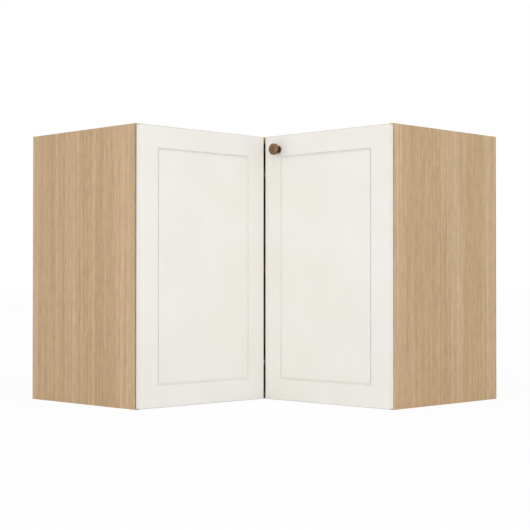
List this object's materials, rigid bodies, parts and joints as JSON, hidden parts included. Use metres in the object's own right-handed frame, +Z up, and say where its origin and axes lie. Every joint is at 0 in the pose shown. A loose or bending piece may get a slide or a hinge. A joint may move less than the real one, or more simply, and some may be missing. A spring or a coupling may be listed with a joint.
{
  "type": "corner base cabinet",
  "caption": "L-shaped corner base cabinet with oak flanks, two framed doors hinged together as a folding pair, a shelf and one knob.",
  "frame": {"origin": "middle of the square footprint, on the floor", "axes": "+Z up; the room walls stand at +X and +Y; the left door faces -Y and the right door faces -X"},
  "size_m": [0.9, 0.9, 0.72],
  "materials": {
    "oak_board": "light oak decor board, fine vertical grain, matt",
    "door_lacquer": "off-white satin lacquer on fibreboard",
    "bronze": "antique bronze, patinated",
    "nickel_steel": "nickel-plated pressed steel",
    "zinc": "zinc",
    "hardboard": "white-faced hardboard",
    "beech": "turned beech",
    "clear_bumper": "clear soft pad"
  },
  "bodies": {
    "carcass": {"back_nails": "zinc", "bottom_panel": "oak_board", "cam_bolts": "zinc", "cam_locks": "zinc", "corner_post": "oak_board", "dowels": "beech", "flank_arm_screws": "nickel_steel", "flank_lower_hinge_arm": "nickel_steel", "flank_lower_hinge_plate": "nickel_steel", "flank_plate_screws": "nickel_steel", "flank_upper_hinge_arm": "nickel_steel", "flank_upper_hinge_plate": "nickel_steel", "left_back_panel": "hardboard", "left_back_rail": "oak_board", "left_side_panel": "oak_board", "post_screws": "zinc", "right_back_panel": "hardboard", "right_back_rail": "oak_board", "right_side_panel": "oak_board", "shelf": "oak_board", "shelf_pins": "nickel_steel", "top_panel": "oak_board"},
    "left_door": {"flank_lower_hinge_cup": "nickel_steel", "flank_lower_hinge_pin": "nickel_steel", "flank_upper_hinge_cup": "nickel_steel", "flank_upper_hinge_pin": "nickel_steel", "fold_arm_screws": "nickel_steel", "fold_lower_hinge_arm": "nickel_steel", "fold_lower_hinge_plate": "nickel_steel", "fold_plate_screws": "nickel_steel", "fold_upper_hinge_arm": "nickel_steel", "fold_upper_hinge_plate": "nickel_steel", "left_cup_screws": "nickel_steel", "left_door_bumpers": "clear_bumper", "left_door_panel": "door_lacquer"},
    "right_door": {"fold_lower_hinge_cup": "nickel_steel", "fold_lower_hinge_pin": "nickel_steel", "fold_upper_hinge_cup": "nickel_steel", "fold_upper_hinge_pin": "nickel_steel", "knob": "bronze", "knob_base": "bronze", "knob_screw": "zinc", "right_cup_screws": "nickel_steel", "right_door_bumpers": "clear_bumper", "right_door_panel": "door_lacquer"}
  },
  "joints": [
    {"name": "left_door_swing", "type": "hinge", "parent": "carcass", "child": "left_door", "pos_m": [-0.4402, -0.0025, 0.3595], "axis": [0, 0, -1], "range_deg": [0, 95]},
    {"name": "right_door_fold", "type": "hinge", "parent": "left_door", "child": "right_door", "pos_m": [-0.0025, -0.0233, 0.3595], "axis": [0, 0, -1], "range_deg": [0, 50]}
  ]
}
